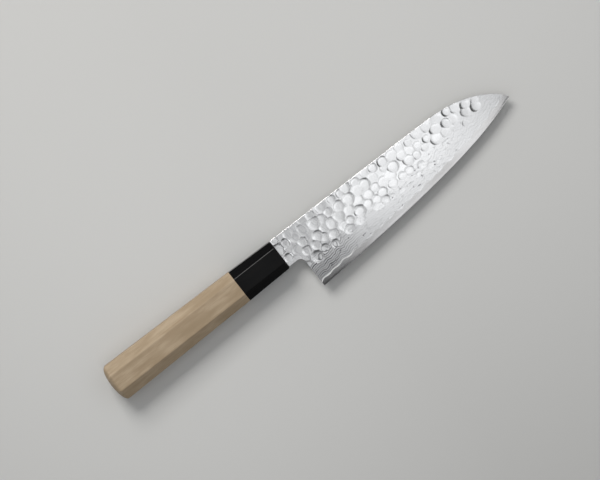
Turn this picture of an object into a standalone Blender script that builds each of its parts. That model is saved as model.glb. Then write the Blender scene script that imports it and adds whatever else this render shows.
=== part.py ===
"""A santoku kitchen knife lying on its side, in metres: +X to the tip, +Y to the spine, +Z up.

A hard core is clad on both sides with softer steel, hammered above and ground below. Its hidden tang
runs through a horn ferrule into an eight-sided magnolia handle, where it is bedded in resin.
Blade and handle are drawn from the middle of the ferrule's front face, with the blade in the XY plane.
"""

import math
import random

import bmesh
import bpy
from mathutils import Matrix, Vector
from mathutils.geometry import delaunay_2d_cdt

# Blade outline
BLADE_REACH = 0.1836  # ferrule face to tip
SPINE_HEIGHT = 0.0110  # spine above the handle's axis, at the ferrule
SPINE_FALL = 0.0011  # what the straight spine loses on its way to the tip
HEEL_SETBACK = 0.0106  # ferrule face to the heel's back edge
HEEL_DEPTH = 0.0345  # heel corner below the axis
NECK_DEPTH = 0.0101  # underside of the neck below the axis
CHOIL_RADIUS = 0.0040  # round between the neck and the heel's back edge
TIP_DROP = 0.0110  # tip below the axis
TIP_BLUNT = 0.0008  # height of the eased tip
NOSE_LENGTH = 0.0665  # the spine bends down over this length
NOSE_POWER = 3.25
HOOK_SHARE = 0.068  # part of that bend which is kept for the last turn
HOOK_POWER = 30
BELLY_SHARE = 0.396  # part of the edge's rise that comes as belly
BELLY_POWER = 2.9
SWEEP_SHARE = 0.162  # part of it that comes just before the tip
SWEEP_POWER = 7.7

# Blade section
SPINE_THICKNESS = 0.0019
NOSE_THICKNESS = 0.0014
CORE_THICKNESS = 0.0006
WELD_GAP = 0.00002  # parting between core and cladding
GRIND_HEIGHT = 0.0193  # the ground bevel, up from the edge
GRIND_POWER = 0.92  # under 1 is convex
CLAD_LINE_HEIGHT = 0.0041  # bare core above the edge
CLAD_LINE_WAVE = 0.0007
CLAD_LINE_PITCH = 0.0092
CLAD_RIPPLE_SHARE = 0.4  # part of the wave that comes from a slower one
CLAD_RIPPLE_RATE = 0.6
CLAD_LINE_DIP = 0.0016  # how much lower the line comes out at the heel
CLAD_DIP_LENGTH = 0.0050
CLAD_NOSE = 0.0010  # height of the cladding's blunt front end
EDGE_BEVEL_HEIGHT = 0.0007
EDGE_BEVEL_THICKNESS = 0.00022
SPINE_EASE = 0.0002

# Hammer marks
MARK_PITCH = 0.0073
MARK_ROW_PITCH = 0.0061
MARK_FIRST_ROW = 0.0028  # below the spine
MARK_RADIUS = 0.0037
MARK_RADIUS_SPREAD = 0.28
MARK_DEPTH = 0.00020
MARK_DEPTH_SPREAD = 0.35
MARK_POWER = 5  # 2 is a round bowl, and more has a flatter bottom and a steeper rim
MARK_TILT = 0.014  # the most that a blow's bottom leans, as a slope
MARK_SCATTER = 0.0017
MARK_SEED = 7

# Tang
TANG_LENGTH = 0.0950
TANG_ROOT_HEIGHT = 0.0080
TANG_END_HEIGHT = 0.0056

# Handle, from the ferrule's front face
HANDLE_LENGTH = 0.1406
FERRULE_LENGTH = 0.0340
FRONT_HEIGHT = 0.0218
JOINT_HEIGHT = 0.0234
BUTT_HEIGHT = 0.0264
FRONT_THICKNESS = 0.0180
BUTT_THICKNESS = 0.0215
SIDE_FACET = 0.0121  # width of the two facets that face the blade's sides
TOP_FACET = 0.0090  # width of the two that face the spine and the edge
BUTT_DOME = 0.0045
LONG_ARRIS = 0.0012  # round on the long edges of ferrule and wood
FERRULE_ROUND = 0.0012  # round on the ferrule's front rim
JOINT_GAP = 0.00002  # parting at both ends of the ferrule

# Joints inside the handle
TENON_RADIUS = 0.0070
TENON_LENGTH = 0.0230
TENON_LEAD = 0.0008
BORE_CLEARANCE = 0.0008  # past the tenon's end
SEAT_GAP = 0.0003
BEDDING_WALL = 0.0008
BEDDING_END = 0.0015
SLOT_END_ROUND = 0.96  # of a full half circle

# How finely the forms are cut into faces
BLADE_STEP = 0.0024
BEVEL_STEP = 0.0048
BEVEL_ROWS = 5
MARK_RING = 0.78  # the ring inside a hammer mark, as a share of its radius
MARK_RING_SIDES = 7
MARK_RIM_SIDES = 9
MARK_MARGIN = 0.0006  # least distance between two places on the hammered steel
CHOIL_STEPS = 5
TANG_END_STEPS = 3
TANG_END_TURN = math.radians(75)  # how far its round end goes round before it is cut square
INSIDE_BORDER = 1  # what the triangulation keeps
ARRIS_STEPS = 2
RIM_STEPS = 4
CORNER_STEPS = 4
DOME_STEPS = 8
DOME_TURN = math.radians(84)  # how far the butt's dome goes round before it is cut flat
TURNED_STEPS = 40
CREASE = math.radians(25)  # edges that turn more than this are shaded sharp
MARK_CREASE = math.radians(6)  # the same on the hammered steel, for the ridges between the marks

HORN = ("horn", (0.012, 0.011, 0.010), 0.32, 0.0)
MAGNOLIA = ("magnolia", (0.55, 0.44, 0.29), 0.62, 0.0)
CORE_STEEL = ("core steel", (0.62, 0.62, 0.63), 0.25, 1.0)
CLAD_STEEL = ("clad steel", (0.74, 0.74, 0.75), 0.30, 1.0)
RESIN = ("resin", (0.42, 0.33, 0.18), 0.45, 0.0)


def between(low, high, share):
    return low + (high - low) * share


def steps(low, high, count):
    """The values after low, up to and including high."""
    return [between(low, high, (step + 1) / count) for step in range(count)]


def spine_y(x):
    bend = max(0.0, (x - BLADE_REACH + NOSE_LENGTH) / NOSE_LENGTH)
    top_of_tip = TIP_BLUNT / 2 - TIP_DROP
    drop = SPINE_HEIGHT - SPINE_FALL - top_of_tip
    bent = (1 - HOOK_SHARE) * bend**NOSE_POWER + HOOK_SHARE * bend**HOOK_POWER
    return SPINE_HEIGHT - SPINE_FALL * x / BLADE_REACH - drop * bent


def edge_y(x):
    along = max(0.0, (x - HEEL_SETBACK) / (BLADE_REACH - HEEL_SETBACK))
    straight = (1 - BELLY_SHARE - SWEEP_SHARE) * along
    curved = BELLY_SHARE * along**BELLY_POWER + SWEEP_SHARE * along**SWEEP_POWER
    return between(-HEEL_DEPTH, -TIP_DROP - TIP_BLUNT / 2, straight + curved)


def clad_line_y(x):
    """Where the cladding ends above the edge, wavy because the steel was hammered before it was ground."""
    turn = 2 * math.pi * (x - HEEL_SETBACK) / CLAD_LINE_PITCH
    wave = between(math.sin(turn), math.sin(CLAD_RIPPLE_RATE * turn), CLAD_RIPPLE_SHARE)
    dip = CLAD_LINE_DIP * math.exp((HEEL_SETBACK - x) / CLAD_DIP_LENGTH)
    return edge_y(x) + CLAD_LINE_HEIGHT + CLAD_LINE_WAVE * wave - dip


def choil_y(x):
    """Underside of the neck, and the round that leads from it to the heel."""
    past = max(0.0, x - HEEL_SETBACK + CHOIL_RADIUS)
    return -NECK_DEPTH - CHOIL_RADIUS + math.sqrt(CHOIL_RADIUS**2 - min(past, CHOIL_RADIUS) ** 2)


def stock_half(x):
    """Half the thickness of the unground blade, which thins towards the tip."""
    return between(SPINE_THICKNESS, NOSE_THICKNESS, max(0.0, x) / BLADE_REACH) / 2


def tang_half_height(x):
    return between(TANG_ROOT_HEIGHT, TANG_END_HEIGHT, -x / TANG_LENGTH) / 2


def clad_half():
    """Height of the cladding's inner face above the blade's middle."""
    return CORE_THICKNESS / 2 + WELD_GAP


def ground_z(x, y):
    """The convex ground bevel, from the bare core up to the full thickness."""
    climb = max(0.0, y - edge_y(x) - CLAD_LINE_HEIGHT) / (GRIND_HEIGHT - CLAD_LINE_HEIGHT)
    return between(clad_half(), stock_half(x), climb**GRIND_POWER)


def hammer_marks(side):
    """(x, y, radius, depth, tilt) of each blow on one side of the blade, in staggered rows."""
    chance = random.Random(MARK_SEED + side)
    rows = math.ceil((SPINE_HEIGHT + HEEL_DEPTH - GRIND_HEIGHT) / MARK_ROW_PITCH) + 1
    marks = []
    for row in range(rows):
        for place in range(math.ceil(BLADE_REACH / MARK_PITCH)):
            x = (place + 0.5 - row % 2 / 2) * MARK_PITCH + chance.uniform(-1, 1) * MARK_SCATTER
            y = spine_y(min(x, BLADE_REACH)) - MARK_FIRST_ROW - row * MARK_ROW_PITCH
            y += chance.uniform(-1, 1) * MARK_SCATTER
            scale = 1 + chance.uniform(-1, 1) * MARK_RADIUS_SPREAD
            depth = MARK_DEPTH * scale**2 * (1 + chance.uniform(-1, 1) * MARK_DEPTH_SPREAD)
            tilt = Vector((chance.uniform(-1, 1), chance.uniform(-1, 1))) * MARK_TILT
            marks.append((x, y, MARK_RADIUS * scale, depth, tilt))
    return marks


def dent(marks, x, y):
    """How deep the blows go at one place: the deepest of the shallow, slightly tilted bowls that cover it."""
    deepest = 0.0
    for mark_x, mark_y, radius, depth, tilt in marks:
        offset = Vector((x - mark_x, y - mark_y))
        away = min(1.0, offset.length / radius)
        deepest = max(deepest, (depth + tilt.dot(offset)) * (1 - away**MARK_POWER))
    return deepest


def tang_edge():
    """(x, half height) along the tang, from its round end to the shoulder."""
    radius = TANG_END_HEIGHT / 2
    points = []
    for step in range(TANG_END_STEPS):
        turn = TANG_END_TURN * (1 - step / TANG_END_STEPS)
        points.append((radius * (1 - math.sin(turn)) - TANG_LENGTH, radius * math.cos(turn)))
    return points + [(x, tang_half_height(x)) for x in (radius - TANG_LENGTH, 0.0)]


def blade_xs(start, reach):
    """Places along the blade, from start to reach."""
    return [start] + steps(start, reach, round((reach - start) / BLADE_STEP))


def outline(bottom, reach):
    """The outline of blade and tang, from the tang's end along the underside to the tip and back.

    bottom gives y of the lower side for x, and reach is where it ends.
    """
    start = HEEL_SETBACK - CHOIL_RADIUS
    tang = tang_edge()
    points = [(x, -half) for x, half in tang]
    points += [(0.0, -NECK_DEPTH), (start, -NECK_DEPTH)]
    for turn in steps(0.0, math.pi / 2, CHOIL_STEPS):
        x = start + CHOIL_RADIUS * math.sin(turn)
        points.append((x, CHOIL_RADIUS * (math.cos(turn) - 1) - NECK_DEPTH))
    points += [(x, bottom(x)) for x in blade_xs(HEEL_SETBACK, reach)]
    points += [(x, spine_y(x)) for x in reversed(blade_xs(0.0, reach))]
    return points + [(x, half) for x, half in reversed(tang)]


def sheet(border, lines, points, height):
    """A sheet of triangles inside the border, with the lines and points in it, at height(x, y)."""
    places, edges = [], []
    for line in [border + border[:1]] + lines:
        first = len(places)
        places += line
        edges += [(index, index + 1) for index in range(first, len(places) - 1)]
    places = [Vector(place) for place in places + points]
    made = delaunay_2d_cdt(places, edges, [], INSIDE_BORDER, WELD_GAP / 10)
    mesh = bmesh.new()
    verts = [mesh.verts.new((place.x, place.y, height(place.x, place.y))) for place in made[0]]
    for corners in made[2]:
        mesh.faces.new([verts[corner] for corner in corners])
    return mesh


def build_wall(mesh, floor_z):
    """Drops a wall from the sheet's border to floor_z, and closes it up where it has no height."""
    rim = [edge for edge in mesh.edges if edge.is_boundary]
    for item in bmesh.ops.extrude_edge_only(mesh, edges=rim)["geom"]:
        if isinstance(item, bmesh.types.BMVert):
            item.co.z = floor_z
    bmesh.ops.remove_doubles(mesh, verts=mesh.verts, dist=WELD_GAP / 10)


def clad_end():
    """Where the clad line has nearly reached the spine, near the tip."""
    low, high = HEEL_SETBACK, BLADE_REACH
    while high - low > WELD_GAP:
        middle = (low + high) / 2
        if spine_y(middle) - clad_line_y(middle) > CLAD_NOSE:
            low = middle
        else:
            high = middle
    return low


def struck_z(marks, x, y):
    return stock_half(x) - dent(marks, x, y)


def mark_points(marks):
    """Places that carry the shape of the hammer marks: each bowl's middle, a ring in it and its rim.

    Where two bowls overlap, the ends and the middle of the ridge between them are places too. A place
    is left out where another bowl or the ground bevel takes it away, or close to the outline.
    """
    wanted = []
    for mark in marks:
        x, y, radius = mark[:3]
        wanted.append((x, y))
        for share, count in ((MARK_RING, MARK_RING_SIDES), (1.0, MARK_RIM_SIDES)):
            for step in range(count):
                turn = 2 * math.pi * (step + share) / count
                wanted.append((x + share * radius * math.cos(turn), y + share * radius * math.sin(turn)))
        for other in marks:
            away = math.dist(mark[:2], other[:2])
            if mark[:2] < other[:2] and abs(radius - other[2]) < away < radius + other[2]:
                along = (away**2 + radius**2 - other[2] ** 2) / (2 * away)
                half = math.sqrt(radius**2 - along**2)
                ahead = Vector((other[0] - x, other[1] - y)) / away
                for offset in (0.0, half, -half):
                    place = Vector(mark[:2]) + along * ahead + offset * ahead.orthogonal()
                    wanted.append(tuple(place))
    kept = []
    for x, y in wanted:
        if not MARK_MARGIN < x < clad_end() - MARK_MARGIN or y > spine_y(x) - SPINE_EASE - MARK_MARGIN:
            continue
        low = choil_y(x) if x < HEEL_SETBACK + MARK_MARGIN else clad_line_y(x)
        if y < low + MARK_MARGIN or struck_z(marks, x, y) > ground_z(x, y):
            continue
        if all(math.dist((x, y), other) > MARK_MARGIN for other in kept):
            kept.append((x, y))
    return kept


def cladding(name, side):
    """One side's softer steel: flat inside, hammered and ground outside, feathered out above the edge."""
    marks = hammer_marks(side)
    end = clad_end()
    eased = [(x, spine_y(x) - SPINE_EASE) for x in blade_xs(0.0, end)]
    bevel = []
    for row in range(1, BEVEL_ROWS + 1):
        for x in steps(HEEL_SETBACK, end, round((end - HEEL_SETBACK) / BEVEL_STEP))[:-1]:
            y = clad_line_y(x) + (GRIND_HEIGHT - CLAD_LINE_HEIGHT) * row / BEVEL_ROWS
            if y < spine_y(x) - SPINE_EASE - MARK_MARGIN and ground_z(x, y) < struck_z(marks, x, y):
                bevel.append((x, y))

    def height(x, y):
        if x < 0:
            return stock_half(x)
        if x > HEEL_SETBACK - WELD_GAP and y < clad_line_y(x) + WELD_GAP:
            return clad_half()
        eased_by = SPINE_EASE if y > spine_y(x) - WELD_GAP else 0.0
        return max(min(struck_z(marks, x, y) - eased_by, ground_z(x, y)), clad_half() + WELD_GAP)

    mesh = sheet(outline(clad_line_y, end), [eased], bevel + mark_points(marks), height)
    build_wall(mesh, clad_half())
    inner = [edge for edge in mesh.edges if edge.is_boundary]
    face = bmesh.ops.contextual_create(mesh, geom=inner)["faces"]
    bmesh.ops.triangulate(mesh, faces=face, ngon_method="BEAUTY")
    if side < 0:
        bmesh.ops.scale(mesh, vec=(1, 1, -1), verts=mesh.verts)
    return add_object(name, mesh, CLAD_STEEL, crease=MARK_CREASE)


def core_steel():
    """The hard core, bare along the edge and at the outline. Half of it is drawn and mirrored."""
    end = clad_end()
    end_share = (clad_line_y(end) - edge_y(end)) / (spine_y(end) - edge_y(end))

    def line_y(x):
        return clad_line_y(x) if x <= end else between(edge_y(x), spine_y(x), end_share)

    def bevel_y(x):
        return edge_y(x) + min(EDGE_BEVEL_HEIGHT, (line_y(x) - edge_y(x)) / 2)

    def height(x, y):
        if x < HEEL_SETBACK - WELD_GAP or y > line_y(x) - WELD_GAP:
            return CORE_THICKNESS / 2
        return EDGE_BEVEL_THICKNESS / 2 if y > bevel_y(x) - WELD_GAP else 0.0

    xs = blade_xs(HEEL_SETBACK, BLADE_REACH)
    lines = [[(x, line(x)) for x in xs] for line in (bevel_y, line_y)]
    mesh = sheet(outline(edge_y, BLADE_REACH), lines, [], height)
    build_wall(mesh, 0.0)
    core = add_object("core_steel", mesh, CORE_STEEL)
    mirror = core.modifiers.new("Other side", "MIRROR")
    mirror.use_axis = (False, False, True)
    mirror.merge_threshold = WELD_GAP / 10
    return core


def handle_size(x):
    """(height, thickness) of the handle at x, which swells from the ferrule's face to the butt."""
    back = -x
    full_back = HANDLE_LENGTH - BUTT_DOME
    if back < FERRULE_LENGTH:
        height = between(FRONT_HEIGHT, JOINT_HEIGHT, back / FERRULE_LENGTH)
    else:
        height = between(JOINT_HEIGHT, BUTT_HEIGHT, (back - FERRULE_LENGTH) / (full_back - FERRULE_LENGTH))
    return height, between(FRONT_THICKNESS, BUTT_THICKNESS, back / full_back)


def rounded(corners, radius, count):
    """The corners of a convex outline, each cut by an arc of count steps."""
    points = []
    for index, corner in enumerate(corners):
        before = (corner - corners[index - 1]).normalized()
        after = (corners[(index + 1) % len(corners)] - corner).normalized()
        turn = before.angle(after)
        back = radius * math.tan(turn / 2)
        centre = corner - before * back + Vector((-before.y, before.x)) * radius
        for step in range(count + 1):
            out = Vector((before.y, -before.x))
            out.rotate(Matrix.Rotation(turn * step / count, 2))
            points.append(centre + out * radius)
    return points


def eight_sided(x, height, thickness, arris, share=1.0):
    """A ring of the handle's eight-sided section, drawn in to share of its size."""
    high, thick = height / 2 * share, thickness / 2 * share
    side, top = SIDE_FACET / 2 * share, TOP_FACET / 2 * share
    corners = [(high, -top), (high, top), (side, thick), (-side, thick)]
    corners += [(-high, top), (-high, -top), (-side, -thick), (side, -thick)]
    outline = rounded([Vector(corner) for corner in corners], arris * share, ARRIS_STEPS)
    return [Vector((x, point.x, point.y)) for point in outline]


def loft(rings):
    """A closed skin over rings that have as many points each."""
    mesh = bmesh.new()
    loops = [[mesh.verts.new(point) for point in ring] for ring in rings]
    for low, high in zip(loops, loops[1:]):
        for index in range(len(low)):
            mesh.faces.new((low[index - 1], low[index], high[index], high[index - 1]))
    mesh.faces.new(loops[0])
    mesh.faces.new(reversed(loops[-1]))
    return mesh


def turned(profile):
    """A solid turned round the handle's axis from (x, radius) points."""
    mesh = bmesh.new()
    points = [mesh.verts.new((x, radius, 0.0)) for x, radius in profile]
    edges = [mesh.edges.new(pair) for pair in zip(points, points[1:])]
    bmesh.ops.spin(
        mesh,
        geom=points + edges,
        cent=(0, 0, 0),
        axis=(1, 0, 0),
        angle=2 * math.pi,
        steps=TURNED_STEPS,
        use_merge=True,
    )
    bmesh.ops.remove_doubles(mesh, verts=mesh.verts, dist=WELD_GAP / 10)
    return mesh


def slot(front, back, height, width, corner):
    """A straight slot along the handle, with its corners rounded to the radius corner."""
    high, wide = height / 2, width / 2
    outline = [(high, -wide), (high, wide), (-high, wide), (-high, -wide)]
    points = rounded([Vector(point) for point in outline], corner, CORNER_STEPS)
    return loft([[Vector((x, point.x, point.y)) for point in points] for x in (back, front)])


def tang_void(front, back):
    """The room that the tang takes, with a gap all round."""
    rings = []
    for x in (back, -TANG_LENGTH + TANG_END_HEIGHT / 2, front):
        half_y = tang_half_height(max(x, -TANG_LENGTH)) + SEAT_GAP
        half_z = stock_half(x) + SEAT_GAP
        corners = [(half_y, -half_z), (half_y, half_z), (-half_y, half_z), (-half_y, -half_z)]
        rings.append([Vector((x, y, z)) for y, z in corners])
    return loft(rings)


def ferrule():
    """Horn, with a rounded front rim. It is bored for the tenon and slotted for the tang."""
    rings = [eight_sided(-FERRULE_LENGTH, *handle_size(-FERRULE_LENGTH), LONG_ARRIS)]
    for step in range(RIM_STEPS + 1):
        turn = math.pi / 2 * step / RIM_STEPS
        x = FERRULE_ROUND * (math.sin(turn) - 1) - JOINT_GAP
        height, thickness = handle_size(x)
        share = 1 - FERRULE_ROUND * (1 - math.cos(turn)) / (FRONT_HEIGHT / 2)
        rings.append(eight_sided(x, height, thickness, LONG_ARRIS, share))
    body = add_object("ferrule", loft(rings), HORN)
    bottom = TENON_LENGTH + BORE_CLEARANCE - FERRULE_LENGTH
    past_back = -FERRULE_LENGTH - TENON_RADIUS
    radius = TENON_RADIUS + SEAT_GAP
    bore = turned([(bottom, 0.0), (bottom, radius), (past_back, radius), (past_back, 0.0)])
    cut(body, "Tenon bore", bore)
    height = TANG_ROOT_HEIGHT + 2 * SEAT_GAP
    width = SPINE_THICKNESS + 2 * SEAT_GAP
    cut(body, "Tang slot", slot(TENON_RADIUS, bottom - TENON_RADIUS, height, width, SEAT_GAP))
    return body


def slot_size(gap):
    """(height, width, corner) of the handle's slot less a gap all round. It holds the tang and the resin.

    Its ends are as good as round, as a milling cutter leaves them.
    """
    around = 2 * (BEDDING_WALL + 2 * SEAT_GAP - gap)
    width = SPINE_THICKNESS + around
    return TANG_ROOT_HEIGHT + around, width, SLOT_END_ROUND * width / 2


def slot_bottom():
    return -TANG_LENGTH - BEDDING_END - 2 * SEAT_GAP


def handle_body():
    """Magnolia: eight-sided, swelling to a domed butt, with a turned tenon and a slot for the tang."""
    rings = []
    full_back = HANDLE_LENGTH - BUTT_DOME
    for step in range(DOME_STEPS):
        turn = DOME_TURN * (1 - step / DOME_STEPS)
        x = -full_back - BUTT_DOME * math.sin(turn)
        rings.append(eight_sided(x, BUTT_HEIGHT, BUTT_THICKNESS, LONG_ARRIS, math.cos(turn)))
    rings.append(eight_sided(-full_back, BUTT_HEIGHT, BUTT_THICKNESS, LONG_ARRIS))
    front = -FERRULE_LENGTH - JOINT_GAP
    rings.append(eight_sided(front, *handle_size(front), LONG_ARRIS))
    body = add_object("handle_body", loft(rings), MAGNOLIA)
    end = TENON_LENGTH - FERRULE_LENGTH
    rooted = -FERRULE_LENGTH - TENON_RADIUS
    lead = [(end, 0.0), (end, TENON_RADIUS - TENON_LEAD), (end - TENON_LEAD, TENON_RADIUS)]
    tenon = turned(lead + [(rooted, TENON_RADIUS), (rooted, 0.0)])
    cut(body, "Tenon", tenon, "UNION")
    cut(body, "Tang slot", slot(end + TENON_RADIUS, slot_bottom(), *slot_size(0.0)))
    return body


def tang_bedding():
    """Cured resin that fills the slot round the tang, from the tenon's end to past the tang's end."""
    front = TENON_LENGTH - FERRULE_LENGTH - SEAT_GAP
    back = slot_bottom() + SEAT_GAP
    body = add_object("tang_bedding", slot(front, back, *slot_size(SEAT_GAP)), RESIN)
    cut(body, "Tang", tang_void(front + TENON_RADIUS, -TANG_LENGTH - SEAT_GAP))
    return body


def material(name, colour, roughness, metallic):
    made = bpy.data.materials.get(name) or bpy.data.materials.new(name)
    made.use_nodes = True
    shader = made.node_tree.nodes["Principled BSDF"]
    shader.inputs["Base Color"].default_value = (*colour, 1.0)
    shader.inputs["Roughness"].default_value = roughness
    shader.inputs["Metallic"].default_value = metallic
    made.diffuse_color = (*colour, 1.0)
    return made


def add_object(name, mesh, finish, collection="Santoku knife", crease=CREASE):
    """Makes an object of the mesh, faces outwards, and hangs it on the knife's empty."""
    bmesh.ops.recalc_face_normals(mesh, faces=mesh.faces)
    data = bpy.data.meshes.new(name)
    mesh.to_mesh(data)
    mesh.free()
    data.shade_smooth()
    data.set_sharp_from_angle(angle=crease)
    made = bpy.data.objects.new(name, data)
    made.parent = bpy.data.objects["knife"]
    bpy.data.collections[collection].objects.link(made)
    if finish:
        data.materials.append(material(*finish))
    return made


def cut(body, name, mesh, operation="DIFFERENCE"):
    """Cuts the mesh from the body, or joins it to the body, and keeps it as a hidden cutter."""
    cutter = add_object(f"{body.name} {name.lower()}", mesh, None, "Cutters")
    cutter.hide_render = True
    cutter.display_type = "WIRE"
    boolean = body.modifiers.new(name, "BOOLEAN")
    boolean.operation = operation
    boolean.object = cutter


def place_knife():
    """An empty at the ferrule's face that lays the handle's tapering side facet flat on the ground.

    It also brings the middle of the knife's box over the origin.
    """
    swell = (BUTT_THICKNESS - FRONT_THICKNESS) / 2
    lean = math.atan2(swell, HANDLE_LENGTH - BUTT_DOME)
    knife = bpy.data.objects.new("knife", None)
    knife.rotation_euler = (0.0, lean, 0.0)
    knife.location = (
        (HANDLE_LENGTH - BLADE_REACH) / 2 * math.cos(lean),
        (HEEL_DEPTH - BUTT_HEIGHT / 2) / 2,
        FRONT_THICKNESS / 2 * math.cos(lean),
    )
    bpy.data.collections["Santoku knife"].objects.link(knife)


def main():
    for left_over in list(bpy.data.objects):
        bpy.data.objects.remove(left_over)
    for name in ("Santoku knife", "Cutters"):
        bpy.context.scene.collection.children.link(bpy.data.collections.new(name))
    place_knife()
    core_steel()
    cladding("cladding_right", 1)
    cladding("cladding_left", -1)
    ferrule()
    handle_body()
    tang_bedding()


main()
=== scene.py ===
"""A santoku knife: hammered, clad blade, black horn ferrule, eight-sided magnolia handle.

Each piece has its own operator, which builds it over the fixed frame of the part. Everything is in
metres: +X to the tip, +Y to the spine, +Z up from the table. Blade and handle are drawn flat in the
knife's own frame, from the middle of the ferrule's front face, and then laid down on the handle.
"""

import math
import random
from collections import namedtuple
from itertools import pairwise
from string import ascii_lowercase

import bmesh
import bpy
from mathutils import Matrix, Vector


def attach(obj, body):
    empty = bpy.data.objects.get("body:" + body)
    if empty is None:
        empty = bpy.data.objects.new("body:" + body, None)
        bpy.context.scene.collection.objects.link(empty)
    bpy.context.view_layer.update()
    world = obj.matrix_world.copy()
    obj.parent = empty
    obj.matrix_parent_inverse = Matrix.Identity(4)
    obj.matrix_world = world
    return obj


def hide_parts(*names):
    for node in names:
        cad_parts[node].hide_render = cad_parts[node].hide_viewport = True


bl_info = {
    "name": "Santoku Knife",
    "version": (1, 0, 0),
    "blender": (4, 5, 0),
    "location": "3D View > Sidebar > Knife",
    "description": "Builds a santoku knife with a hammered, clad blade and a wooden handle",
    "category": "Object",
}

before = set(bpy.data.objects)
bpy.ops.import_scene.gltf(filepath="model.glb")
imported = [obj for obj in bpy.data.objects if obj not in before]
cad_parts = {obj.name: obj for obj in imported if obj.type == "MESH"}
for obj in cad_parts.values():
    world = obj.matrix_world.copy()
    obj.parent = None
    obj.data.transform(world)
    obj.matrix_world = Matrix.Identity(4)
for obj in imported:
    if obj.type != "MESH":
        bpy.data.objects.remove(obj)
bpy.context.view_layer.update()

# Blade outline, from the ferrule's face and the handle's axis
BLADE_REACH = 0.1836
SPINE_HEIGHT = 0.0110
SPINE_FALL = 0.0011
HEEL_SETBACK = 0.0106
HEEL_DEPTH = 0.0345
NECK_DEPTH = 0.0101
CHOIL_RADIUS = 0.0040
TIP_DROP = 0.0110
TIP_BLUNT = 0.0008
NOSE_LENGTH = 0.0665
NOSE_POWER = 3.25
HOOK_SHARE = 0.068
HOOK_POWER = 30
BELLY_SHARE = 0.396
BELLY_POWER = 2.9
SWEEP_SHARE = 0.162
SWEEP_POWER = 7.7

# Blade section
SPINE_THICKNESS = 0.0019
NOSE_THICKNESS = 0.0014
CORE_THICKNESS = 0.0006
WELD_GAP = 0.00002
CLAD_INNER_FACE = CORE_THICKNESS / 2 + WELD_GAP
GRIND_HEIGHT = 0.0193
GRIND_POWER = 0.92
CLAD_LINE_HEIGHT = 0.0041
CLAD_LINE_WAVE = 0.0007
CLAD_LINE_PITCH = 0.0092
CLAD_RIPPLE_SHARE = 0.4
CLAD_RIPPLE_RATE = 0.6
CLAD_LINE_DIP = 0.0016
CLAD_DIP_LENGTH = 0.0050
CLAD_NOSE = 0.0010
CLAD_FEATHER = 0.00002
EDGE_BEVEL_HEIGHT = 0.0007
EDGE_BEVEL_THICKNESS = 0.00022
SPINE_EASE = 0.0002

# Hammer marks
MARK_PITCH = 0.0073
MARK_ROW_PITCH = 0.0061
MARK_FIRST_ROW = 0.0028
MARK_RADIUS_SPREAD = 0.28
MARK_DEPTH_SPREAD = 0.6
MARK_POWER = 4
MARK_TILT = 0.014
MARK_SCATTER = 0.0017
MARK_SEED = 7

# Tang and handle
TANG_LENGTH = 0.0950
TANG_ROOT_HEIGHT = 0.0080
TANG_END_HEIGHT = 0.0056
HANDLE_LENGTH = 0.1406
FERRULE_LENGTH = 0.0340
FRONT_HEIGHT = 0.0218
JOINT_HEIGHT = 0.0234
BUTT_HEIGHT = 0.0264
FRONT_THICKNESS = 0.0180
BUTT_THICKNESS = 0.0215
SIDE_FACET = 0.0121
TOP_FACET = 0.0090
BUTT_DOME = 0.0045
FERRULE_ROUND = 0.0012
JOINT_GAP = 0.00002
TENON_RADIUS = 0.0070
TENON_LENGTH = 0.0230
TENON_LEAD = 0.0008
BORE_CLEARANCE = 0.0008
SEAT_GAP = 0.0003
BEDDING_WALL = 0.0008
BEDDING_END = 0.0015
SLOT_END_ROUND = 0.96

# How finely the pieces are divided, and how near is near enough to merge points or call them level
CLAD_STEP = 0.00031
CLAD_ROWS = 140
EASE_ROWS = 4
CORE_STEP = 0.0006
BEVEL_ROWS = 2
BAND_ROWS = 4
INNER_ROWS = 4
NECK_ROWS = 12
CHOIL_COLUMNS = 12
ARRIS_SEGMENTS = 5
FERRULE_STEPS = 6
HANDLE_STEPS = 12
RIM_STEPS = 8
DOME_STEPS = 26
DOME_TURN = math.radians(84)
ROUND_SEGMENTS = 64
SLOT_CORNER_SEGMENTS = 8
SMOOTH_ANGLE = math.radians(32)
MERGE_DISTANCE = WELD_GAP / 10
FLAT_TOLERANCE = WELD_GAP / 4

# Finishes. A pattern has the size of its features, and how much longer they are along or across
# the knife. A ramp has where it starts and stops, and then its values there, unless these are 0
# and 1 or two of the settings. Heights count from the clad line, and reaches from the heel

# Clad steel: layer lines, some bolder, knots where a fold is ground through, and the weld's nickel
FOLDS = {"size": 0.0045, "across": 3.0}
FOLD_DEPTH = 0.00015
CURLS = {"size": 0.0035}
CURL_DEPTH = 0.00003
LINE_RAMP = (0.0, 0.8)
LINE_HEIGHTS = (0.011, 0.019)
LINE_REACHES = (0.012, 0.044)
LINE_ROUGHNESS = 0.10
LINE_RELIEF = 0.000004
BOLD_RATE = 0.37
BOLD_RAMP = (-0.6, 0.6, 0.6, 1.0)
PATCHES = {"size": 0.006}
PATCH_RAMP = (0.38, 0.62, 0.7, 1.0)
KNOTS = {"size": 0.0016, "along": 1.8, "detail": 1.0}
KNOT_RING_RISE = (0.58, 0.61)
KNOT_RING_FALL = (0.62, 0.66, 0.2, 0.0)
KNOT_EYE_RAMP = (0.68, 0.74, 0.0, 0.8)
KNOT_HEIGHTS = (0.011, 0.016, 1.0, 0.0)
KNOT_REACHES = (0.110, 0.150, 1.0, 0.2)
NICKEL_HEIGHTS = (0.0004, 0.0007, 1.0, 0.0)
NICKEL_REACHES = (0.024, 0.034, 1.0, 0.2)
NICKEL_PALENESS = 0.75
HAMMERED_HEIGHTS = (0.012, 0.020)
GRIT = {"size": 0.0007, "along": 12.0}
GRIT_ROUGHNESS = 0.10

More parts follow.
